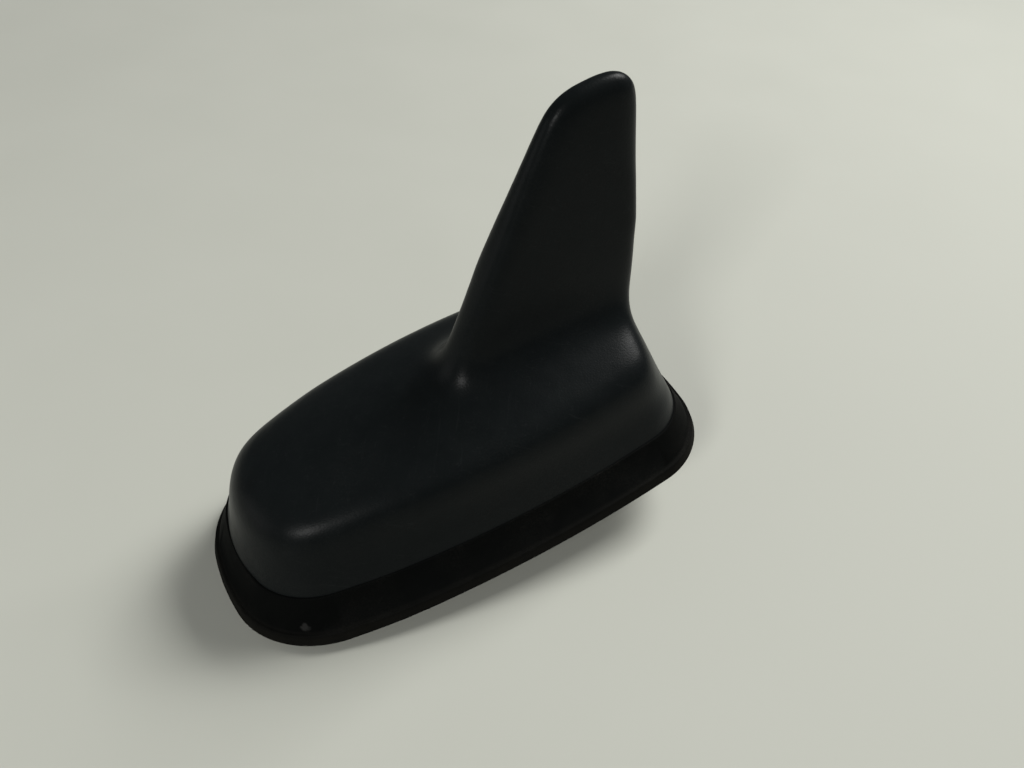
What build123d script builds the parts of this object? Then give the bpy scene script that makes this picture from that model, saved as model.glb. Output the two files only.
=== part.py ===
"""Roof fin antenna for a car: a moulded cover with a fin, a rubber skirt and a cast base."""

import os
from math import radians, tan

from build123d import *

os.makedirs("parts", exist_ok=True)

# Frame: millimetres, +X towards the nose, +Y to the left, +Z up.
# The origin lies on the stud axis, in the plane where the gasket sits on the roof.

# Plan outline of the cover, carried down to the roof
nose_reach = 76.0
tail_reach = 40.0
half_width = 29.0
widest_x = 8.0
nose_half_width = 23.5
tail_half_width = 26.0
nose_bulge = 5.0
tail_bulge = 4.0
nose_corner_radius = 20.0
tail_corner_radius = 18.0

# Pod of the cover
end_draft = 19.5
side_draft = 15.0
cover_wall = 2.0
crown_height = 34.0
crown_x = -8.0
crown_bow_radius = 410.0
crown_dome_radius = 110.0
shoulder_radius = 5.0

# Fin of the cover
fin_height = 90.0
lead_angle = 60.0
lead_root_x = 19.7
trail_x = -29.2
tip_rise = 1.2
root_half_thickness = 5.2
tip_half_thickness = 2.9
brow_radius = 10.0
tip_radius = 6.0
fin_edge_radius = 2.5
fin_root_radius = 9.0
fin_sink = 18.0

# Rubber gasket
gasket_foot = 2.5
gasket_ring = 6.2
seam_height = 13.0
skirt_foot_wall = 1.3
skirt_top_wall = 1.0
skirt_edge_radius = 0.4
lip_reach = 2.0
lip_height = 2.6
lip_edge_radius = 0.5
foot_groove_inset = 1.4
foot_groove_width = 2.4
foot_groove_depth = 0.9

# Cast base plate with its ribs
plate_thickness = 3.0
rib_width = 1.6
rib_height = 1.2
rib_spacing = 22.0
rib_count = 4

# Hollow stud, staked into the plate
stud_radius = 7.0
stud_depth = 11.0
stud_chamfer = 1.0
collar_side = 15.5
collar_corner_radius = 1.5
collar_depth = 1.5
spigot_radius = 6.2
stud_rim_radius = 7.4
stud_rim_height = 0.8
cable_bore_radius = 4.5

# Sealing cord between the cover and the plate
seal_width = 1.0
seal_depth = 0.8

# Screws of the cover
screw_from_nose = 19.0
screw_from_tail = 18.0
screw_from_edge = 9.0
boss_radius = 3.2
cover_screw_radius = 1.25
cover_screw_head_radius = 2.1
cover_screw_head_height = 1.4
cover_screw_reach = 8.0

# Circuit board, its posts and its screws
post_radius = 2.6
post_height = 2.5
board_thickness = 1.6
board_corner_radius = 2.0
board_screw_inset = 3.4
board_screw_radius = 1.0
board_screw_head_radius = 1.9
board_screw_head_height = 1.3
board_screw_reach = 3.4
cable_hole_radius = 5.2

# Patch aerial and its feed pin
patch_side = 25.0
patch_thickness = 4.0
patch_corner_radius = 1.2
patch_from_front = 18.5
pin_radius = 0.5
pin_head_radius = 1.1
pin_head_height = 0.4
pin_offset = 1.6

# Amplifier can
can_length = 24.0
can_width = 7.4
can_height = 3.2
can_wall = 0.4
can_corner_radius = 1.0

# Upright aerial board and its holder
fin_board_thickness = 1.2
fin_board_top_gap = 9.0
fin_board_edge_gap = 1.4
holder_half_length = 16.0
holder_foot_length = 6.5
holder_foot_half_width = 4.5
holder_foot_height = 4.0
holder_rail_half_width = 2.6
holder_rail_height = 6.5
holder_slot_depth = 4.5

# Clearances
rubber_fit = 0.1
screw_fit = 0.1
slot_fit = 0.1
piece_gap = 1.3

# Heights and places that follow from the sizes above
end_slope = tan(radians(end_draft))
side_slope = tan(radians(side_draft))
lead_lean = 1 / tan(radians(lead_angle))
plate_top = gasket_foot + plate_thickness
board_bottom = plate_top + post_height
board_top = board_bottom + board_thickness
patch_top = board_top + patch_thickness
slot_floor = board_top + holder_foot_height + holder_rail_height - holder_slot_depth


def outline(grow, section, level):
    """Plan outline of the drafted walls at one section, grown outwards and laid at one level."""
    end_inset = section * end_slope - grow
    side_inset = section * side_slope - grow
    nose = nose_reach - end_inset
    tail = end_inset - tail_reach
    with BuildSketch(Plane.XY.offset(level)) as plan:
        with BuildLine():
            nose_left = (nose - nose_bulge, nose_half_width - side_inset)
            nose_right = (nose - nose_bulge, side_inset - nose_half_width)
            tail_left = (tail + tail_bulge, tail_half_width - side_inset)
            tail_right = (tail + tail_bulge, side_inset - tail_half_width)
            ThreePointArc(nose_right, (nose, 0), nose_left)
            ThreePointArc(nose_left, (widest_x, half_width - side_inset), tail_left)
            ThreePointArc(tail_left, (tail, 0), tail_right)
            ThreePointArc(tail_right, (widest_x, side_inset - half_width), nose_right)
        make_face()
        fillet(plan.vertices().group_by(Axis.X)[-1], nose_corner_radius - end_inset)
        fillet(plan.vertices().group_by(Axis.X)[0], tail_corner_radius - end_inset)
    return plan.sketch


def tapered(low_grow, low, high_grow, high):
    """Solid ruled between two grown outlines at two heights."""
    lower = outline(low_grow, low, low)
    upper = outline(high_grow, high, high)
    with BuildPart() as body:
        loft(sections=[lower, upper], ruled=True)
    return body.part


def pod(inset):
    """Low body of the cover: drafted walls under a bowed, domed crown with a rounded shoulder."""
    top = crown_height + shoulder_radius
    body = tapered(-inset, plate_top, -inset, top)
    hub = crown_height - crown_bow_radius
    drop = crown_dome_radius - (crown_dome_radius**2 - half_width**2) ** 0.5
    with BuildPart() as form:
        add(body)
        with BuildSketch(Plane.YZ.offset(crown_x)) as dome:
            with BuildLine():
                arc = ThreePointArc(
                    (-half_width, crown_height - inset - drop),
                    (0, crown_height - inset),
                    (half_width, crown_height - inset - drop),
                )
                Polyline(arc @ 1, (half_width, 0), (-half_width, 0), arc @ 0)
            make_face()
        revolve(axis=Axis((crown_x, 0, hub), (0, 1, 0)), mode=Mode.INTERSECT)
        fillet(form.faces().sort_by(Axis.Z)[-1].edges(), shoulder_radius - inset)
    return form.part


def fin_side(inset, low):
    """Side view of the fin, from a low level inside the pod to the tip."""
    brow_height = fin_height - tip_rise
    brow = (lead_root_x - (brow_height - crown_height) * lead_lean, brow_height)
    foot = (lead_root_x + (crown_height - low) * lead_lean, low)
    with BuildSketch(Plane.XZ) as side:
        with BuildLine():
            edge = FilletPolyline(
                foot,
                brow,
                (trail_x, fin_height),
                (trail_x, low),
                radius=[brow_radius, tip_radius],
            )
            Line(edge @ 1, edge @ 0)
        make_face()
        if inset:
            offset(amount=-inset)
    return side.sketch


def fin(inset):
    """Blade of the fin, thinner towards its tip."""
    side = fin_side(inset, fin_sink)
    gain = (root_half_thickness - tip_half_thickness) / (fin_height - crown_height)
    base_half = tip_half_thickness + gain * fin_height - inset
    top_half = tip_half_thickness - inset
    with BuildPart() as blade:
        extrude(side, amount=half_width, both=True)
        with BuildSketch(Plane.YZ) as front:
            with BuildLine():
                Polyline(
                    (-base_half, 0),
                    (base_half, 0),
                    (top_half, fin_height),
                    (-top_half, fin_height),
                    close=True,
                )
            make_face()
        extrude(front.sketch, amount=nose_reach, both=True, mode=Mode.INTERSECT)
        if not inset:
            flanks = blade.faces().sort_by(Axis.Y)
            rims = flanks[0].edges() + flanks[-1].edges()
            fillet(rims.filter_by(lambda rim: rim.center().Z > fin_sink + fin_edge_radius), fin_edge_radius)
    return blade.part


# Places of the screws, symmetric about the middle plane
nose_screw_x = nose_reach - screw_from_nose
tail_screw_x = screw_from_tail - tail_reach
screw_places = []
for side_sign in (1, -1):
    screw_places.append((nose_screw_x, side_sign * (nose_half_width - screw_from_edge)))
    screw_places.append((widest_x, side_sign * (half_width - screw_from_edge)))
    screw_places.append((tail_screw_x, side_sign * (tail_half_width - screw_from_edge)))

# Circuit board between the screw bosses
board_front = nose_screw_x - boss_radius - piece_gap
board_rear = tail_screw_x + boss_radius + piece_gap
board_half_width = half_width - screw_from_edge - boss_radius - piece_gap
board_screw_places = []
for end in (board_front - board_screw_inset, board_rear + board_screw_inset):
    for side_sign in (1, -1):
        board_screw_places.append((end, side_sign * (board_half_width - board_screw_inset)))
patch_x = board_front - patch_from_front
can_y = board_half_width - piece_gap / 2 - can_width / 2

# Cover: pod and fin blended together, hollowed out, with screw bosses left standing inside
outer_pod = pod(0)
outer_fin = fin(0)
inner_pod = pod(cover_wall)
inner_fin = fin(cover_wall)
with BuildPart() as cavity:
    add(inner_pod)
    add(inner_fin)
    with BuildSketch(Plane.XY.offset(plate_top)):
        with Locations(*screw_places):
            Circle(boss_radius)
    extrude(amount=crown_height, mode=Mode.SUBTRACT)

with BuildPart() as cover:
    add(outer_pod)
    add(outer_fin)
    fillet(cover.edges(Select.NEW), fin_root_radius)
    add(cavity.part, mode=Mode.SUBTRACT)
    with BuildSketch(Plane.XY.offset(plate_top)):
        with Locations(*screw_places):
            Circle(cover_screw_radius + screw_fit)
    extrude(amount=cover_screw_reach + piece_gap, mode=Mode.SUBTRACT)

# Gasket: bead lip at the roof, tapered skirt up to the seam, pocket for the plate and the cover
lip = tapered(lip_reach, 0, lip_reach, lip_height)
skirt = tapered(skirt_foot_wall, 0, skirt_top_wall, seam_height)
cover_room = tapered(rubber_fit, plate_top, rubber_fit, seam_height + plate_top)
plate_room = outline(rubber_fit, plate_top, gasket_foot)
foot_opening = outline(-gasket_ring, 0, 0)
groove_outside = outline(-foot_groove_inset, 0, 0)
groove_inside = outline(-foot_groove_inset - foot_groove_width, 0, 0)
with BuildPart() as gasket:
    add(lip)
    fillet(gasket.faces().sort_by(Axis.Z)[-1].edges(), lip_edge_radius)
    add(skirt)
    fillet(gasket.faces().sort_by(Axis.Z)[-1].edges(), skirt_edge_radius)
    add(cover_room, mode=Mode.SUBTRACT)
    extrude(plate_room, amount=plate_thickness, mode=Mode.SUBTRACT)
    extrude(foot_opening, amount=gasket_foot, mode=Mode.SUBTRACT)
    with BuildSketch() as groove:
        add(groove_outside)
        add(groove_inside, mode=Mode.SUBTRACT)
    extrude(groove.sketch, amount=foot_groove_depth, mode=Mode.SUBTRACT)

# Base plate: flat casting with ribs below and board posts on top
plate_plan = outline(0, plate_top, gasket_foot)
rib_field = outline(-gasket_ring - piece_gap, 0, gasket_foot - rib_height)
seal_outside = outline(-(cover_wall - seal_width) / 2, plate_top, plate_top)
seal_inside = outline(-(cover_wall + seal_width) / 2, plate_top, plate_top)
with BuildPart() as base_plate:
    extrude(plate_plan, amount=plate_thickness)
    with BuildSketch(Plane.XY.offset(gasket_foot - rib_height)):
        with Locations((widest_x, 0)):
            Rectangle(2 * nose_reach, rib_width)
            with GridLocations(rib_spacing, 0, rib_count, 1):
                Rectangle(rib_width, 2 * half_width)
        add(rib_field, mode=Mode.INTERSECT)
        with Locations(*screw_places):
            Circle(cover_screw_head_radius + piece_gap, mode=Mode.SUBTRACT)
        RectangleRounded(
            collar_side + 2 * piece_gap,
            collar_side + 2 * piece_gap,
            collar_corner_radius + piece_gap,
            mode=Mode.SUBTRACT,
        )
    extrude(amount=rib_height)
    with BuildSketch(Plane.XY.offset(plate_top)):
        with Locations(*board_screw_places):
            Circle(post_radius)
    extrude(amount=post_height)
    with BuildSketch(Plane.XY.offset(gasket_foot)):
        Circle(spigot_radius + screw_fit)
    extrude(amount=plate_thickness, mode=Mode.SUBTRACT)
    with BuildSketch(Plane.XY.offset(plate_top)):
        add(seal_outside)
        add(seal_inside, mode=Mode.SUBTRACT)
    extrude(amount=-seal_depth, mode=Mode.SUBTRACT)
    with BuildSketch(Plane.XY.offset(gasket_foot)):
        with Locations(*screw_places):
            Circle(cover_screw_radius + screw_fit)
    extrude(amount=plate_thickness, mode=Mode.SUBTRACT)
    with BuildSketch(Plane.XY.offset(gasket_foot)):
        with Locations(*screw_places):
            Circle(cover_screw_head_radius + screw_fit)
    extrude(amount=cover_screw_head_height, mode=Mode.SUBTRACT)
    with BuildSketch(Plane.XY.offset(board_bottom)):
        with Locations(*board_screw_places):
            Circle(board_screw_radius + screw_fit)
    extrude(amount=-board_screw_reach, mode=Mode.SUBTRACT)

# Stud: threaded shank, square collar against the plate, spigot and staked rim, bored for the leads
with BuildPart() as stud:
    with BuildSketch(Plane.XY.offset(-stud_depth)):
        Circle(stud_radius)
    extrude(amount=stud_depth)
    chamfer(stud.faces().sort_by(Axis.Z)[0].edges(), stud_chamfer)
    with BuildSketch(Plane.XY.offset(-collar_depth)):
        RectangleRounded(collar_side, collar_side, collar_corner_radius)
    extrude(amount=collar_depth + gasket_foot)
    with BuildSketch(Plane.XY.offset(gasket_foot)):
        Circle(spigot_radius)
    extrude(amount=plate_thickness)
    with BuildSketch(Plane.XY.offset(plate_top)):
        Circle(stud_rim_radius)
    extrude(amount=stud_rim_height)
    with BuildSketch(Plane.XY.offset(-stud_depth)):
        Circle(cable_bore_radius)
    extrude(amount=stud_depth + plate_top + stud_rim_height, mode=Mode.SUBTRACT)

# Sealing cord lying in its groove, level with the plate
with BuildPart() as cover_seal:
    with BuildSketch(Plane.XY.offset(plate_top - seal_depth)):
        add(seal_outside)
        add(seal_inside, mode=Mode.SUBTRACT)
    extrude(amount=seal_depth)

# Cover screws, driven up through the plate into the bosses
with BuildPart() as cover_screws:
    with BuildSketch(Plane.XY.offset(gasket_foot)):
        with Locations(*screw_places):
            Circle(cover_screw_head_radius)
    extrude(amount=cover_screw_head_height)
    with BuildSketch(Plane.XY.offset(gasket_foot)):
        with Locations(*screw_places):
            Circle(cover_screw_radius)
    extrude(amount=plate_thickness + cover_screw_reach)
    with BuildSketch(Plane.XY.offset(gasket_foot)):
        with Locations(*screw_places):
            RegularPolygon(cover_screw_radius, 6)
    extrude(amount=cover_screw_head_height / 2, mode=Mode.SUBTRACT)

# Circuit board with its cable hole, screw holes and pin hole
board_length = board_front - board_rear
board_middle = (board_front + board_rear) / 2
with BuildPart() as main_board:
    with BuildSketch(Plane.XY.offset(board_bottom)):
        with Locations((board_middle, 0)):
            RectangleRounded(board_length, 2 * board_half_width, board_corner_radius)
        Circle(cable_hole_radius, mode=Mode.SUBTRACT)
        with Locations(*board_screw_places):
            Circle(board_screw_radius + screw_fit, mode=Mode.SUBTRACT)
        with Locations((patch_x, pin_offset)):
            Circle(pin_radius + screw_fit, mode=Mode.SUBTRACT)
    extrude(amount=board_thickness)

# Board screws, from above into the posts
with BuildPart() as board_screws:
    with BuildSketch(Plane.XY.offset(board_top)):
        with Locations(*board_screw_places):
            Circle(board_screw_head_radius)
    extrude(amount=board_screw_head_height)
    with BuildSketch(Plane.XY.offset(board_top)):
        with Locations(*board_screw_places):
            Circle(board_screw_radius)
    extrude(amount=-board_thickness - board_screw_reach + screw_fit)

# Ceramic patch on the front of the board, with a clear hole for its pin
with BuildPart() as gps_patch:
    with BuildSketch(Plane.XY.offset(board_top)):
        with Locations((patch_x, 0)):
            RectangleRounded(patch_side, patch_side, patch_corner_radius)
        with Locations((patch_x, pin_offset)):
            Circle(pin_radius + screw_fit, mode=Mode.SUBTRACT)
    extrude(amount=patch_thickness)

# Feed pin: flat head on the patch, shank down through the board
with BuildPart() as patch_pin:
    with BuildSketch(Plane.XY.offset(patch_top)):
        with Locations((patch_x, pin_offset)):
            Circle(pin_head_radius)
    extrude(amount=pin_head_height)
    with BuildSketch(Plane.XY.offset(patch_top)):
        with Locations((patch_x, pin_offset)):
            Circle(pin_radius)
    extrude(amount=-patch_thickness - board_thickness)

# Sheet-metal can over the amplifier, open towards the board
with BuildPart() as shield_can:
    with BuildSketch(Plane.XY.offset(board_top)):
        with Locations((0, can_y)):
            RectangleRounded(can_length, can_width, can_corner_radius)
    extrude(amount=can_height)
    offset(amount=-can_wall, openings=shield_can.faces().sort_by(Axis.Z)[0])

# Holder: two feet on the board, bridged by a slotted rail over the cable hole
foot_x = holder_half_length - holder_foot_length / 2
with BuildPart() as fin_holder:
    with BuildSketch(Plane.XY.offset(board_top)):
        with GridLocations(2 * foot_x, 0, 2, 1):
            Rectangle(holder_foot_length, 2 * holder_foot_half_width)
    extrude(amount=holder_foot_height)
    with BuildSketch(Plane.XY.offset(board_top + holder_foot_height)):
        Rectangle(2 * holder_half_length, 2 * holder_rail_half_width)
    extrude(amount=holder_rail_height)
    with BuildSketch(Plane.XY.offset(slot_floor)):
        Rectangle(2 * holder_half_length, fin_board_thickness + 2 * slot_fit)
    extrude(amount=holder_slot_depth, mode=Mode.SUBTRACT)

# Upright board: follows the hollow of the fin, with a tab down in the holder's slot
rail_top = slot_floor + holder_slot_depth
fin_board_inset = cover_wall + fin_board_edge_gap
fin_room = fin_side(fin_board_inset, rail_top + slot_fit - fin_board_inset)
with BuildPart() as fin_board:
    with BuildSketch(Plane.XZ):
        add(fin_room)
        with Locations((0, fin_height - fin_board_top_gap)):
            Rectangle(
                2 * nose_reach, fin_height, align=(Align.CENTER, Align.MIN), mode=Mode.SUBTRACT
            )
        with Locations((0, slot_floor)):
            Rectangle(
                2 * holder_half_length - 2 * piece_gap,
                holder_slot_depth + slot_fit,
                align=(Align.CENTER, Align.MIN),
            )
    extrude(amount=fin_board_thickness / 2, both=True)

# Write each piece
pieces = {
    "cover": cover,
    "gasket": gasket,
    "base_plate": base_plate,
    "stud": stud,
    "cover_seal": cover_seal,
    "cover_screws": cover_screws,
    "main_board": main_board,
    "board_screws": board_screws,
    "gps_patch": gps_patch,
    "patch_pin": patch_pin,
    "shield_can": shield_can,
    "fin_holder": fin_holder,
    "fin_board": fin_board,
}
for name, piece in pieces.items():
    piece.part.label = name
    export_step(piece.part, f"parts/{name}.step")
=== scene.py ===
# %% [markdown]
# A roof fin antenna for a car. The cover is a black moulded pod with an upright fin, a rubber skirt
# closes it to the roof, and a hollow threaded stud below clamps it and lets the leads through.
# The solids come in ready made, in metres, so this lesson gives them light, a camera and finishes,
# and works out the forms that a drawing of plain solids leaves out.

import math

import bmesh
import bpy
import numpy as np
from mathutils import Matrix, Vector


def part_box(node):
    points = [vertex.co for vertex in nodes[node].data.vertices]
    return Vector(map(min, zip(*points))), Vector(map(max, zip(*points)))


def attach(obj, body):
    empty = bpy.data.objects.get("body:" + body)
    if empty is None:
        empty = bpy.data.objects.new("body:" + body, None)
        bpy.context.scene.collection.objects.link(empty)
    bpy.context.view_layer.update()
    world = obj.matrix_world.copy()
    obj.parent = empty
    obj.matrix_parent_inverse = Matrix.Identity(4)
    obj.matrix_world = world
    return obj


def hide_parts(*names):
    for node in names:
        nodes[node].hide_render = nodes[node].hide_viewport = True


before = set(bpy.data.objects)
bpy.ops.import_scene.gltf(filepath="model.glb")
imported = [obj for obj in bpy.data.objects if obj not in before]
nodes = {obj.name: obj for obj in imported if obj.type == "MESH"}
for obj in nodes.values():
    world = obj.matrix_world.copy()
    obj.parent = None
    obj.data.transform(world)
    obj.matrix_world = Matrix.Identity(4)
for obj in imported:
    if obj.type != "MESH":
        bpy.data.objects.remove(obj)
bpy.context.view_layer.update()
scene = bpy.context.scene
scene.view_settings.view_transform = "Standard"
print("solids:", ", ".join(sorted(nodes)))

# %% [markdown]
# The camera stands to the left and ahead, and looks down at about 47 degrees. Its place can be
# found by eye, but fitting it to the outline is surer. Three angles give its axes, and the
# place is then written along those axes, so no target object is needed.

# %% Camera
azimuth, elevation, roll = (math.radians(a) for a in (153.526, 47.300, -5.127))
camera_place = np.array((-0.002452, 0.013988, 0.222041))
focal_pixels = 880.68
frame_pixels = 1024
back = np.array(
    (
        math.sin(azimuth) * math.cos(elevation),
        -math.cos(azimuth) * math.cos(elevation),
        math.sin(elevation),
    )
)
level = np.cross((0, 0, 1), back)
level /= np.linalg.norm(level)
rise = np.cross(back, level)
camera_axes = np.array(
    (
        math.cos(roll) * level + math.sin(roll) * rise,
        math.cos(roll) * rise - math.sin(roll) * level,
        back,
    )
)
camera_matrix = np.eye(4)
camera_matrix[:3, :3] = camera_axes.T
camera_matrix[:3, 3] = camera_place @ camera_axes
lens = bpy.data.cameras.new("camera")
lens.sensor_width = 36
lens.lens = focal_pixels * lens.sensor_width / frame_pixels
lens.clip_start = 0.005
camera = bpy.data.objects.new("camera", lens)
scene.collection.objects.link(camera)
camera.matrix_world = Matrix(camera_matrix.tolist())
scene.camera = camera
print("camera at", np.round(camera_matrix[:3, 3], 3), "with a lens of", round(lens.lens, 1), "mm")

# %% [markdown]
# The table and the stud are grids of points. They could be drawn by hand in edit mode, but a formula
# for the whole grid is easier to read and to change. One helper turns such a grid into a mesh. Where
# a grid runs round, its last line is joined to its first, which closes the seam without doubled
# points.

# %% From a grid of points to a mesh
def shade(mesh, sharp=None):
    """Smooth shading on all faces, broken at edges that bend by more than the sharp angle in degrees."""
    mesh.polygons.foreach_set("use_smooth", np.ones(len(mesh.polygons), bool))
    if sharp is not None:
        mesh.set_sharp_from_angle(angle=math.radians(sharp))
    mesh.update()


def grid_piece(name, points, round_rows=False, round_columns=False, sharp=None):
    """Mesh over a grid of points, one quad between each four neighbours, closed in the ways asked."""
    rows, columns = points.shape[:2]
    index = np.arange(rows * columns).reshape(rows, columns)
    if round_rows:
        index = np.vstack((index, index[:1]))
    if round_columns:
        index = np.hstack((index, index[:, :1]))
    quads = np.stack((index[:-1, :-1], index[1:, :-1], index[1:, 1:], index[:-1, 1:]), axis=-1)
    mesh = bpy.data.meshes.new(name)
    mesh.from_pydata(points.reshape(-1, 3).tolist(), [], quads.reshape(-1, 4).tolist())
    shade(mesh, sharp)
    piece = bpy.data.objects.new(name, mesh)
    scene.collection.objects.link(piece)
    return piece


print("mesh helpers: shade, grid_piece")

# %% [markdown]
# The antenna lies loose on a table. The stud keeps its middle off the surface, so it tips forward
# and rests on two places: the front of the skirt and the front edge of the stud. The object could be
# turned, but it keeps its own frame here, so the table is tilted instead: from the front of the
# skirt it drops towards the rear, by the tilt times the distance.

# %% Table
skirt_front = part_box("gasket")[1].x
stud_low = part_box("stud")[0].z
stud_edge = 0.006
tilt = -stud_low / (skirt_front - stud_edge)
table_half = 4
reach = np.linspace(-table_half, table_half, 9)
across, along = np.meshgrid(reach, reach)
table_points = np.stack((along, across, tilt * (along - skirt_front)), axis=-1)
table = grid_piece("table", table_points)
print("table tilted by", round(math.degrees(math.atan(tilt)), 1), "degrees")

# %% [markdown]
# The main light stands high behind the tail, so the shadow falls forward and the side towards the
# camera stays nearly black. A low window on the nose side gives the far edges their rim, and a small
# lamp ahead of the nose, on the camera's side, picks out the rounded edges. Point lamps would give
# hard shadows, so all three are area lamps.

# %% Lamps
def lamp(name, place, aim, size, power, colour):
    """Square area lamp at a place. Its z axis is the way from the aim point back to the lamp."""
    data = bpy.data.lights.new(name, "AREA")
    data.shape = "SQUARE"
    data.size = size
    data.energy = power
    data.color = colour
    made = bpy.data.objects.new(name, data)
    scene.collection.objects.link(made)
    z = np.array(place, float) - np.array(aim, float)
    z /= np.linalg.norm(z)
    x = np.cross((0, 0, 1), z)
    x /= np.linalg.norm(x)
    turned = np.eye(4)
    turned[:3, :3] = np.stack((x, np.cross(z, x), z), axis=1)
    turned[:3, 3] = place
    made.matrix_world = Matrix(turned.tolist())
    return made


window = lamp("window", (1.1, -0.40, 0.36), (0.03, 0, 0.03), 0.7, 1.5, (1.0, 0.99, 0.965))
ceiling = lamp("ceiling", (-1.05, -0.14, 0.86), (0, 0, 0.03), 0.6, 18.0, (1.0, 0.995, 0.975))
front = lamp("front", (0.64, 0.48, 0.66), (0.03, 0, 0.03), 0.20, 4.0, (1.0, 0.995, 0.97))
print("lamps:", window.name, ceiling.name, front.name)

# %% [markdown]
# Finishes are node trees. They could be wired by hand in the shader editor, but written out they can
# be read in one go. A few helpers keep them short: one adds a node and fills its sockets, one does a
# sum, and one spreads a value over a range. Effects that several finishes share are node groups with
# named inputs: a moulded grain, a film of dust, fine scratches, and a mark at one place.

# %% Helpers for node trees
def feed(tree, socket, value):
    """The output of another node is linked to a socket, and a plain value is set on it."""
    if isinstance(value, bpy.types.NodeSocket):
        tree.links.new(value, socket)
    else:
        socket.default_value = value


def put(tree, kind, sockets=None, **settings):
    """New node of a kind, with its settings and then its sockets filled."""
    node = tree.nodes.new("ShaderNode" + kind)
    for key, value in settings.items():
        setattr(node, key, value)
    for key, value in (sockets or {}).items():
        feed(tree, node.inputs[key], value)
    return node


def worked(tree, operation, *values):
    """Result of one sum on one or two values."""
    return put(tree, "Math", dict(enumerate(values)), operation=operation).outputs[0]


def spread(tree, value, start, end, low=0.0, high=1.0):
    """Value that goes evenly from low to high while its source goes from start to end."""
    limits = {"From Min": start, "From Max": end, "To Min": low, "To Max": high}
    return put(tree, "MapRange", {"Value": value, **limits}).outputs[0]


print("node helpers: feed, put, worked, spread")

# %% [markdown]
# A dim even sky fills the shadows, and the camera sees a pale wall where the table ends. A lit wall
# would throw more light on the black cover, so the wall is only a colour that camera rays see.

# %% Sky and wall
sky = bpy.data.worlds.new("sky")
scene.world = sky
sky.use_nodes = True
tree = sky.node_tree
tree.nodes.clear()
fill = put(tree, "Background", {"Color": (0.93, 0.96, 1.0, 1), "Strength": 0.08})
wall = put(tree, "Background", {"Color": (0.56, 0.57, 0.51, 1), "Strength": 1.0})
seen = put(tree, "LightPath").outputs["Is Camera Ray"]
both = put(tree, "MixShader", {"Fac": seen, 1: fill.outputs[0], 2: wall.outputs[0]})
put(tree, "OutputWorld", {"Surface": both.outputs[0]})
print("made", sky.name)

# %% [markdown]
# The plastic and the rubber both come from an etched mould, which leaves a fine leathery grain, a few
# tenths of a millimetre across on the real thing. Real bumps of that size would take millions of
# faces, so a bump in the finish does it. Two sizes of noise come out of the group: a small one for
# the height, and a broad one for the tone, because an even tone looks printed.

# %% Moulded grain
def effect(name, inputs, outputs):
    """Empty node group with float and vector inputs and float outputs, and its two end nodes."""
    tree = bpy.data.node_groups.new(name, "ShaderNodeTree")
    for label, start in inputs.items():
        kind = "NodeSocketVector" if isinstance(start, tuple) else "NodeSocketFloat"
        socket = tree.interface.new_socket(label, in_out="INPUT", socket_type=kind)
        socket.default_value = start
    for label in outputs:
        tree.interface.new_socket(label, in_out="OUTPUT", socket_type="NodeSocketFloat")
    return tree, tree.nodes.new("NodeGroupInput").outputs, tree.nodes.new("NodeGroupOutput")


def noise(tree, place, scale, detail):
    """Even noise from 0 to 1 at a place."""
    sockets = {"Vector": place, "Scale": scale, "Detail": detail}
    return put(tree, "TexNoise", sockets).outputs["Fac"]


grain, grain_in, grain_out = effect(
    "moulded_grain", {"Place": (0, 0, 0), "Size": 0.0004}, ["Height", "Tone"]
)
fine = worked(grain, "DIVIDE", 1.0, grain_in["Size"])
coarse = worked(grain, "MULTIPLY", fine, 0.09)
feed(grain, grain_out.inputs["Height"], noise(grain, grain_in["Place"], fine, 2.0))
feed(grain, grain_out.inputs["Tone"], noise(grain, grain_in["Place"], coarse, 3.0))
print("made", grain.name)

# %% [markdown]
# Dust gathers in patches with speckles in them. It could be painted on, but a mask made of noise fits
# any shape: a soft large noise, cut by a fine one.

# %% Dust
dust, dust_in, dust_out = effect(
    "dust_film", {"Place": (0, 0, 0), "Amount": 0.3, "Patch": 60.0}, ["Mask"]
)
patches = spread(dust, noise(dust, dust_in["Place"], dust_in["Patch"], 4.0), 0.42, 0.72)
specks = spread(dust, noise(dust, dust_in["Place"], 2600.0, 2.0), 0.4, 0.7)
speckled = worked(dust, "MULTIPLY", patches, specks)
feed(dust, dust_out.inputs["Mask"], worked(dust, "MULTIPLY", speckled, dust_in["Amount"]))
print("made", dust.name)

# %% [markdown]
# Handling leaves hair-fine scratches. Drawing each one would be slow work, so a noise is stretched
# along one direction, and only a thin band of its values is kept, which gives long broken lines.

# %% Scratches
scratch, scratch_in, scratch_out = effect(
    "hair_scratches", {"Place": (0, 0, 0), "Turn": (0, 0, 0), "Amount": 0.3}, ["Mask"]
)
aligned = put(scratch, "Mapping", {"Vector": scratch_in["Place"], "Rotation": scratch_in["Turn"]})
stretch, band, band_half = (18, 900, 900), 0.64, 0.012
stretched = put(scratch, "Mapping", {"Vector": aligned.outputs[0], "Scale": stretch})
off_band = worked(scratch, "SUBTRACT", noise(scratch, stretched.outputs[0], 1.0, 1.0), band)
thin = spread(scratch, worked(scratch, "ABSOLUTE", off_band), 0.0, band_half, 1.0, 0.0)
feed(scratch, scratch_out.inputs["Mask"], worked(scratch, "MULTIPLY", thin, scratch_in["Amount"]))
print("made", scratch.name)

# %% [markdown]
# A scuff or a speck sits at one place. It could be a painted spot, but as a distance from a point it
# is easy to move. The mask falls from one to nothing over a radius, and a noise makes its edge ragged.

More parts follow.
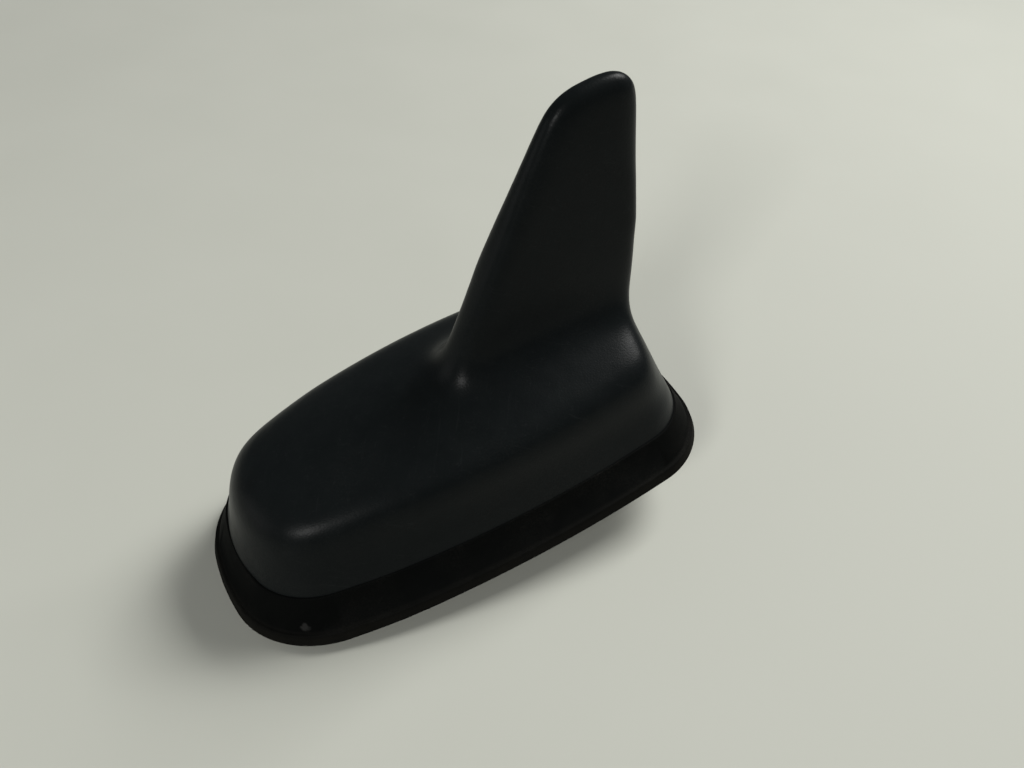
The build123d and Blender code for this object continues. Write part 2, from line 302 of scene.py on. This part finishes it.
# %% Mark at one place
mark, mark_in, mark_out = effect(
    "mark_at_place",
    {"Place": (0, 0, 0), "Centre": (0, 0, 0), "Radius": 0.003, "Ragged": 0.5},
    ["Mask"],
)
away = put(mark, "VectorMath", {0: mark_in["Place"], 1: mark_in["Centre"]}, operation="DISTANCE")
ratio = worked(mark, "DIVIDE", away.outputs["Value"], mark_in["Radius"])
shake = worked(mark, "SUBTRACT", noise(mark, mark_in["Place"], 900.0, 3.0), 0.5)
push = worked(mark, "MULTIPLY", worked(mark, "MULTIPLY", shake, mark_in["Ragged"]), 4.0)
inside = spread(mark, worked(mark, "ADD", ratio, push), 0.6, 1.0, 1.0, 0.0)
feed(mark, mark_out.inputs["Mask"], inside)
print("made", mark.name)

# %% [markdown]
# Every finish starts in the same way: one Principled shader, with its plain values set on the sockets
# and the place on the object at hand. Masks then lay one colour over another, the broad tone drives
# the roughness, and the small grain becomes a bump. Writing that once keeps each finish to what is
# its own.

# %% Start of a finish
def use(tree, group, **values):
    """A group placed in a material, with its own values."""
    node = put(tree, "Group", node_tree=group)
    for key, value in values.items():
        feed(tree, node.inputs[key], value)
    return node.outputs


def finish_of(name, **sockets):
    """New material with a Principled shader, its constant sockets set, and the object's place."""
    made = bpy.data.materials.new(name)
    made.use_nodes = True
    tree = made.node_tree
    shader = tree.nodes["Principled BSDF"]
    for key, value in sockets.items():
        shader.inputs[key.replace("_", " ")].default_value = value
    return made, tree, shader, put(tree, "TexCoord").outputs["Object"]


def tint(tree, mask, dark, light):
    """Colour that goes from dark to light with a mask."""
    ends = [(*end, 1) if isinstance(end, tuple) else end for end in (dark, light)]
    sockets = {"Factor": mask, "A": ends[0], "B": ends[1]}
    return put(tree, "Mix", sockets, data_type="RGBA").outputs["Result"]


def surfaced(tree, shader, colour, grained, rough, depth):
    """Colour, roughness that follows the tone, and a bump with the grain's height in metres."""
    bump = put(tree, "Bump", {"Height": grained["Height"], "Strength": 1.0, "Distance": depth})
    feed(tree, shader.inputs["Base Color"], colour)
    feed(tree, shader.inputs["Roughness"], spread(tree, grained["Tone"], 0.0, 1.0, *rough))
    feed(tree, shader.inputs["Normal"], bump.outputs["Normal"])


print("finish helpers: use, finish_of, tint, surfaced")

# %% [markdown]
# The cover is black moulded plastic. Almost all of what one sees on it is a soft sheen, so its
# roughness matters more than its colour. A plain black would look like a hole in the picture, so the
# colour stays near black with a slight cold tone, and a thin dust, a few hair scratches and one pale
# speck break it up.

# %% Cover plastic
plastic, tree, shader, place = finish_of("moulded_black", IOR=1.46, Specular_IOR_Level=0.075)
grained = use(tree, grain, Place=place, Size=0.00042)
film = use(tree, dust, Place=place, Amount=0.10, Patch=45.0)["Mask"]
lines_a = use(tree, scratch, Place=place, Turn=(0.2, 0.5, 0.35), Amount=0.10)["Mask"]
lines_b = use(tree, scratch, Place=place, Turn=(0.1, -0.3, 2.2), Amount=0.07)["Mask"]
speck_place = (0.0370, 0.0259, 0.0105)
speck = use(tree, mark, Place=place, Centre=speck_place, Radius=0.0006, Ragged=0.2)["Mask"]
colour = tint(tree, grained["Tone"], (0.0058, 0.0074, 0.0078), (0.0088, 0.0107, 0.0111))
colour = tint(tree, film, colour, (0.06, 0.06, 0.056))
colour = tint(tree, lines_a, colour, (0.05, 0.053, 0.053))
colour = tint(tree, lines_b, colour, (0.05, 0.053, 0.053))
colour = tint(tree, speck, colour, (0.35, 0.34, 0.31))
surfaced(tree, shader, colour, grained, (0.28, 0.38), 0.00003)
print("made", plastic.name)

# %% [markdown]
# The skirt is soft rubber, duller and warmer than the plastic. Its bead at the bottom is painted
# lighter and brownish grey: painted light that the pale table throws up on it. That could be a
# second material, but then its edge would be a hard line, so the height above the roof drives it.

# %% Skirt rubber
rubber, tree, shader, place = finish_of("skirt_rubber", IOR=1.45, Specular_IOR_Level=0.02)
grained = use(tree, grain, Place=place, Size=0.0003)
height = put(tree, "SeparateXYZ", {"Vector": place}).outputs["Z"]
# Painted light: the bead low on the skirt gets a lighter brownish colour that stands for light from the
# table.
low = spread(tree, height, 0.0032, 0.0016)
painted_table_light = worked(tree, "MULTIPLY", low, spread(tree, grained["Tone"], 0.0, 1.0, 0.25, 0.95))
film = use(tree, dust, Place=place, Amount=0.14, Patch=70.0)["Mask"]
scuff_place = (0.0661, 0.0225, 0.0045)
scuff = use(tree, mark, Place=place, Centre=scuff_place, Radius=0.0015, Ragged=0.3)["Mask"]
colour = tint(tree, grained["Tone"], (0.0030, 0.0034, 0.0033), (0.0048, 0.0052, 0.0049))
colour = tint(tree, painted_table_light, colour, (0.013, 0.0125, 0.0105))
colour = tint(tree, film, colour, (0.055, 0.052, 0.045))
colour = tint(tree, scuff, colour, (0.030, 0.030, 0.029))
surfaced(tree, shader, colour, grained, (0.55, 0.72), 0.000025)
print("made", rubber.name)

# %% [markdown]
# The metal below is a raw casting with a plated stud and plated screws, and a tinned can and pin sit
# inside. Each could have its own tree, but they differ only in colour and in how rough they are, and
# share a faint uneven tone, so one function makes them all.

# %% Metals
def metal(name, dark, light, rough, size, depth):
    """Bare or plated metal with an uneven tone and a shallow cast or turned grain."""
    made, tree, shader, place = finish_of(name, Metallic=1.0)
    grained = use(tree, grain, Place=place, Size=size)
    film = use(tree, dust, Place=place, Amount=0.25, Patch=90.0)["Mask"]
    colour = tint(tree, film, tint(tree, grained["Tone"], dark, light), (0.12, 0.115, 0.10))
    surfaced(tree, shader, colour, grained, rough, depth)
    print("made", name)
    return made


cast_metal = metal(
    "cast_alloy", (0.30, 0.30, 0.31), (0.48, 0.48, 0.49), (0.42, 0.60), 0.0006, 0.00005
)
stud_metal = metal(
    "plated_stud", (0.42, 0.41, 0.38), (0.60, 0.58, 0.53), (0.24, 0.40), 0.0005, 0.000012
)
screw_metal = metal(
    "plated_screw", (0.34, 0.34, 0.35), (0.55, 0.55, 0.56), (0.25, 0.40), 0.0005, 0.00001
)
can_metal = metal(
    "tinned_can", (0.52, 0.53, 0.54), (0.68, 0.69, 0.70), (0.22, 0.36), 0.0009, 0.00001
)
pin_metal = metal(
    "tinned_pin", (0.55, 0.50, 0.36), (0.70, 0.64, 0.48), (0.20, 0.34), 0.0006, 0.000008
)

# %% [markdown]
# Inside, out of sight, are the boards, the ceramic patch, the holder and the seal. One plain grey
# would do for what is not seen, but whoever opens the cover expects green lacquer and fired clay.
# One function makes them too, each with its own colours.

# %% Inner finishes
def dull(name, dark, light, rough, size, depth, shine=0.4):
    """Non-metal finish with an uneven tone and a fine surface grain."""
    made, tree, shader, place = finish_of(name, Specular_IOR_Level=shine)
    grained = use(tree, grain, Place=place, Size=size)
    surfaced(tree, shader, tint(tree, grained["Tone"], dark, light), grained, rough, depth)
    print("made", name)
    return made


board_green = dull(
    "board_lacquer", (0.010, 0.075, 0.030), (0.018, 0.105, 0.045), (0.28, 0.42), 0.0005, 0.00001
)
ceramic = dull(
    "fired_ceramic", (0.36, 0.33, 0.28), (0.46, 0.42, 0.36), (0.45, 0.60), 0.0004, 0.00001
)
holder_black = dull(
    "holder_plastic", (0.012, 0.012, 0.013), (0.022, 0.022, 0.023), (0.45, 0.60), 0.0004, 0.00002
)
seal_rubber = dull(
    "seal_rubber", (0.010, 0.010, 0.010), (0.020, 0.019, 0.018), (0.60, 0.75), 0.0003, 0.00002
)

# %% [markdown]
# The table shows its pale paint to the camera and in reflections, and a dimmer one to the diffuse
# light that it throws back, so the near side of the black cover stays as deep as it looks. Far from
# the object it fades into the wall, and from below it lets the camera through, so that the foot of
# the antenna can be looked at. Light Path and Backfacing decide that, in the material itself.

# %% Table paint
table_paint = dull(
    "table_paint", (0.545, 0.556, 0.497), (0.570, 0.580, 0.522), (0.55, 0.70), 0.004, 0.00002, 0.15
)
tree = table_paint.node_tree
rays = put(tree, "LightPath").outputs
mirrored = worked(tree, "MAXIMUM", rays["Is Glossy Ray"], rays["Is Transmission Ray"])
direct = worked(tree, "MAXIMUM", rays["Is Camera Ray"], mirrored)
dim = put(tree, "BsdfDiffuse", {"Color": (0.17, 0.17, 0.155, 1)}).outputs[0]
pale = tree.nodes["Principled BSDF"].outputs[0]
paint = put(tree, "MixShader", {"Fac": direct, 1: dim, 2: pale}).outputs[0]
spot = put(tree, "TexCoord").outputs["Object"]
away = put(tree, "VectorMath", {0: spot}, operation="LENGTH").outputs["Value"]
fade = {"Value": away, "From Min": 0.28, "From Max": 0.75}
far = put(tree, "MapRange", fade, interpolation_type="SMOOTHSTEP").outputs[0]
under = put(tree, "NewGeometry").outputs["Backfacing"]
gone = worked(tree, "MULTIPLY", worked(tree, "MAXIMUM", under, far), rays["Is Camera Ray"])
clear = put(tree, "BsdfTransparent").outputs[0]
surface = put(tree, "MixShader", {"Fac": gone, 1: paint, 2: clear}).outputs[0]
feed(tree, tree.nodes["Material Output"].inputs["Surface"], surface)
table.data.materials.append(table_paint)
print("table has", table.data.materials[0].name)

# %% [markdown]
# Each solid gets the finish of what it is made of. This could be set piece by piece in the material
# tab, but a list of pairs shows at a glance that none was forgotten.

# %% Give each solid its finish
finishes = {
    "cover": plastic,
    "gasket": rubber,
    "base_plate": cast_metal,
    "stud": stud_metal,
    "cover_seal": seal_rubber,
    "cover_screws": screw_metal,
    "main_board": board_green,
    "board_screws": screw_metal,
    "gps_patch": ceramic,
    "patch_pin": pin_metal,
    "shield_can": can_metal,
    "fin_holder": holder_black,
    "fin_board": board_green,
}
for name, finish in finishes.items():
    nodes[name].data.materials.clear()
    nodes[name].data.materials.append(finish)
print(len(finishes), "of", len(nodes), "solids have their finish")

# %% [markdown]
# The stud is the one threaded piece. A thread could be a screw modifier, but as a surface it is one
# formula: go round by an angle and along a profile, and let the radius dip in a wave that moves by
# one pitch in each turn. The square collar is the same grid with a radius that follows a rounded
# square. The bore runs back down inside, so the grid closes on itself like a ring.

# %% Smooth step and rounded square
def ramp(value, start, end):
    """Smooth step: t t (3 - 2 t), where t is the share of the way from start to end, from 0 to 1."""
    t = np.clip((value - start) / (end - start), 0, 1)
    return t * t * (3 - 2 * t)


def rounded_square(angle, half, corner):
    """Distance from the middle to a rounded square: on a side, half over the cosine of the angle to
    that side's middle, and at a corner, where the ray leaves the corner's circle."""
    fold = np.abs((angle + np.pi / 4) % (np.pi / 2) - np.pi / 4)
    flat = half / np.cos(fold)
    middle = half - corner
    turn = np.pi / 4 - fold
    reach = middle * math.sqrt(2)
    arc = reach * np.cos(turn) + np.sqrt(np.maximum(corner**2 - (reach * np.sin(turn)) ** 2, 0))
    return np.where(half * np.tan(fold) > middle, arc, flat)


collar_half, collar_corner = 0.00775, 0.0015
collar_reach = rounded_square(np.pi / 4, collar_half, collar_corner)
print("collar is", round(2000 * float(collar_reach), 2), "mm across its corners")

# %% [markdown]
# The heights come in order from the bottom up: the end of the stud, the underside of the collar, the
# underside and the top of the plate that the spigot fills, and the staked rim. Short chamfers take
# the sharpness off, as on a turned piece.

# %% Threaded stud
pitch, thread_depth, crest, end_radius = 0.0015, 0.00082, 0.0070, 0.0058
bore, spigot, rim = 0.0045, 0.0062, 0.0074
collar_low, plate_low, plate_top, rim_top = -0.0015, 0.0025, 0.0055, 0.0063
chamfer, rim_chamfer = 0.0003, 0.0004
flank, crest_flat, run_out = 1.6, 0.3, (0.0002, 0.0012)
turn_steps, thread_rows = 192, 150


def stud_grid():
    """Rows of rings from the bore over thread, collar and rim, back to the bore. The thread's radius is
    the crest less the depth times a flat-topped wave of height over pitch less the share of a turn. A
    cone cuts it at the end, and it runs out below the collar."""
    angle = np.linspace(0, 2 * np.pi, turn_steps, endpoint=False)
    ring = np.ones_like(angle)
    heights = np.linspace(stud_low, collar_low, thread_rows)[:, None]
    phase = (heights / pitch - angle / (2 * np.pi)) % 1
    wave = np.clip(flank * np.abs(2 * phase - 1) - crest_flat, 0, 1)
    thread = crest - thread_depth * (1 - wave) * ramp(collar_low - heights, *run_out)
    thread = np.minimum(thread, end_radius + (heights - stud_low))
    square = rounded_square(angle, collar_half, collar_corner)
    below = [(bore * ring, stud_low + chamfer), ((bore + chamfer) * ring, stud_low)]
    above = [
        (square - chamfer, collar_low),
        (square, collar_low + chamfer),
        (square, plate_low),
        (spigot * ring, plate_low),
        (spigot * ring, plate_top),
        (rim * ring, plate_top),
        (rim * ring, rim_top - rim_chamfer),
        ((rim - rim_chamfer) * ring, rim_top),
        ((bore + chamfer) * ring, rim_top),
        (bore * ring, rim_top - chamfer),
    ]
    radius = np.vstack([r for r, _ in below] + [thread] + [r for r, _ in above])
    z = np.concatenate(([h for _, h in below], heights[:, 0], [h for _, h in above]))
    lift = np.repeat(z[:, None], len(angle), axis=1)
    return np.stack((radius * np.cos(angle), radius * np.sin(angle), lift), axis=-1)


def stands_for(piece, node):
    """A finished piece takes the finish, the body and the place of the solid that it shows."""
    piece.data.materials.clear()
    piece.data.materials.append(finishes[node])
    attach(piece, "root")
    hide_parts(node)
    print(piece.name, "has", len(piece.data.polygons), "faces")


# The rings are taken the other way round, so that the faces point outwards.
stud_points = stud_grid()[:, ::-1]
stands_for(grid_piece("threaded_stud", stud_points, True, True, sharp=42), "stud")

# %% [markdown]
# The cover and the skirt are shown by copies of their solids, because the real mouldings are softer
# than a drawing of planes and fillets. A solid's mesh is loose triangles, so a copy is welded first.
# The cover's copy also gets an even mesh, so that there are points wherever the surface has to bend.

# %% Copies with welded points
def solid_copy(name, node, voxel=None):
    """Welded copy of a solid, with an even mesh of one cell size where that is asked for."""
    mesh = nodes[node].data.copy()
    shape = bmesh.new()
    shape.from_mesh(mesh)
    bmesh.ops.remove_doubles(shape, verts=shape.verts, dist=1e-6)
    shape.to_mesh(mesh)
    shape.free()
    made = bpy.data.objects.new(name, mesh)
    scene.collection.objects.link(made)
    if voxel:
        even = made.modifiers.new("even_mesh", "REMESH")
        even.mode = "VOXEL"
        even.voxel_size = voxel
        ready = made.evaluated_get(bpy.context.evaluated_depsgraph_get())
        made.data = bpy.data.meshes.new_from_object(ready)
        made.modifiers.clear()
    made.data.name = name
    return made


skin = solid_copy("cover_skin", "cover", voxel=0.00075)
skirt = solid_copy("skirt_rubber", "gasket")
print("copies have", len(skin.data.vertices), "and", len(skirt.data.vertices), "points")

# %% [markdown]
# On the real moulding the shoulder sinks towards the rear, the tip stands a little higher, the nose
# corners are drawn in, and the skirt lies flush below the cover. A lattice could bend the copies, but
# a few formulas on all points at once are easier to check. Each bend is an amount times smooth steps,
# and each step has a stretch: it is nothing at the first value and full at the second. They are in
# millimetres, apart from two shares at the nose.

# %% Bending
nose_share, over_nose = 0.05, (42, 76)
skirt_drop, over_skirt = 2.2, (3, 13)
tip_rise, tip_back, over_fin, fin_rear = 2.4, 0.5, (45, 90), (8, 29)
trail_back, above_crown, towards_tail = 1.3, (30, 44), (6, 29)
nose_forward, over_brow, above_seam = 1.2, (45, 70), (13, 22)
shoulder_out, shoulder_down, nose_ease = 1.9, 1.5, 0.3
off_middle, up_wall, past_crown, towards_nose = (9, 19), (17, 29), (36, 42), (12, 48)


def drawn_in(points):
    """Nose corners drawn in: y shrinks by a share that grows along the nose."""
    x, y, z = points.T
    return np.stack((x, y * (1 - nose_share * ramp(x, *over_nose)), z), axis=1)


def flush(points):
    """Nose drawn in, and z sinks by a drop that grows up the skirt to its top edge."""
    x, y, z = drawn_in(points).T
    return np.stack((x, y, z - skirt_drop * ramp(z, *over_skirt)), axis=1)


def as_moulded(points):
    """Nose drawn in, then x moves back at the trailing edge and the tip and forward at the nose, y moves
    out at the shoulder, and z rises at the tip and sinks at the shoulder."""
    x, y, z = drawn_in(points).T
    high = ramp(z, *over_fin)
    trail = ramp(z, *above_crown) * ramp(-x, *towards_tail)
    brow = ramp(x, *over_brow) * ramp(z, *above_seam)
    shoulder = ramp(np.abs(y), *off_middle) * ramp(z, *up_wall) * (1 - ramp(z, *past_crown))
    shoulder *= 1 - nose_ease * ramp(x, *towards_nose)
    along = nose_forward * brow - trail_back * trail - tip_back * high * ramp(-x, *fin_rear)
    out = shoulder_out * shoulder * np.sign(y)
    up = tip_rise * high - shoulder_down * shoulder
    return np.stack((x + along, y + out, z + up), axis=1)


def points_of(piece):
    """All points of a piece, in millimetres."""
    flat = np.empty(len(piece.data.vertices) * 3, np.float32)
    piece.data.vertices.foreach_get("co", flat)
    return flat.reshape(-1, 3).astype(float) * 1000


straight = points_of(skin)
skin_points = as_moulded(straight)
skirt_points = flush(points_of(skirt))
bend = np.linalg.norm(skin_points - straight, axis=1).max()
print("bending moves the cover by up to", round(float(bend), 1), "mm")

# %% [markdown]
# The edges of the real moulding are soft, and they soften and fade along their length. A bevel gives
# one radius along an edge, so the points are relaxed instead, each by its own weight: nothing near
# the seam, and most at the pod, the tip, the nose and the sweep in front of the fin. The more rounds,
# the further the softness spreads. The stretches are in millimetres, as for the bends.

# %% Relaxing
def relaxed(points, edges, weight, rounds):
    """Each point moves half way to the mean of its neighbours, by its weight, round after round."""
    count = np.bincount(edges.ravel(), minlength=len(points))[:, None]
    for _ in range(rounds):
        total = np.stack(
            [
                np.bincount(edges[:, 0], points[edges[:, 1], k], len(points))
                + np.bincount(edges[:, 1], points[edges[:, 0], k], len(points))
                for k in range(3)
            ],
            axis=1,
        )
        points = points + 0.5 * weight[:, None] * (total / count - points)
    return points


skin_edges = np.empty(len(skin.data.edges) * 2, np.int32)
skin.data.edges.foreach_get("vertices", skin_edges)
skin_edges = skin_edges.reshape(-1, 2)
over_seam, up_fin, over_tip = (14, 20), (34, 62), (52, 86)
along_nose, beside_root = (40, 60), (8, 17)
root_front, root_spread = 24, 13
all_share, tip_share = 0.9, 0.8
all_rounds, pod_rounds, nose_rounds = 5, 70, 90
x, y, z = skin_points.T
body = ramp(z, *over_seam)
pod = body * (1 - ramp(z, *up_fin))
nose = body * ramp(x, *along_nose)
tip = tip_share * ramp(z, *over_tip)
near_root = np.exp(-(((x - root_front) / root_spread) ** 2))
sweep = body * near_root * (1 - ramp(np.abs(y), *beside_root))
skin_points = relaxed(skin_points, skin_edges, all_share * body, all_rounds)
skin_points = relaxed(skin_points, skin_edges, np.maximum(pod, tip), pod_rounds)
skin_points = relaxed(skin_points, skin_edges, np.maximum(sweep, nose), nose_rounds)
print("cover relaxed over", len(skin_edges), "edges")

# %% [markdown]
# The new points go back into the two copies, which then take the place of their solids. The cover has
# no sharp edge that shows, so it is shaded smooth all over. The skirt keeps its bead and its top edge
# crisp.

# %% Cover and skirt
def set_points(piece, points):
    """Puts points in millimetres back into a piece."""
    piece.data.vertices.foreach_set("co", (points / 1000).astype(np.float32).ravel())
    piece.data.update()


set_points(skin, skin_points)
shade(skin.data)
stands_for(skin, "cover")
set_points(skirt, skirt_points)
shade(skirt.data, sharp=35)
stands_for(skirt, "gasket")
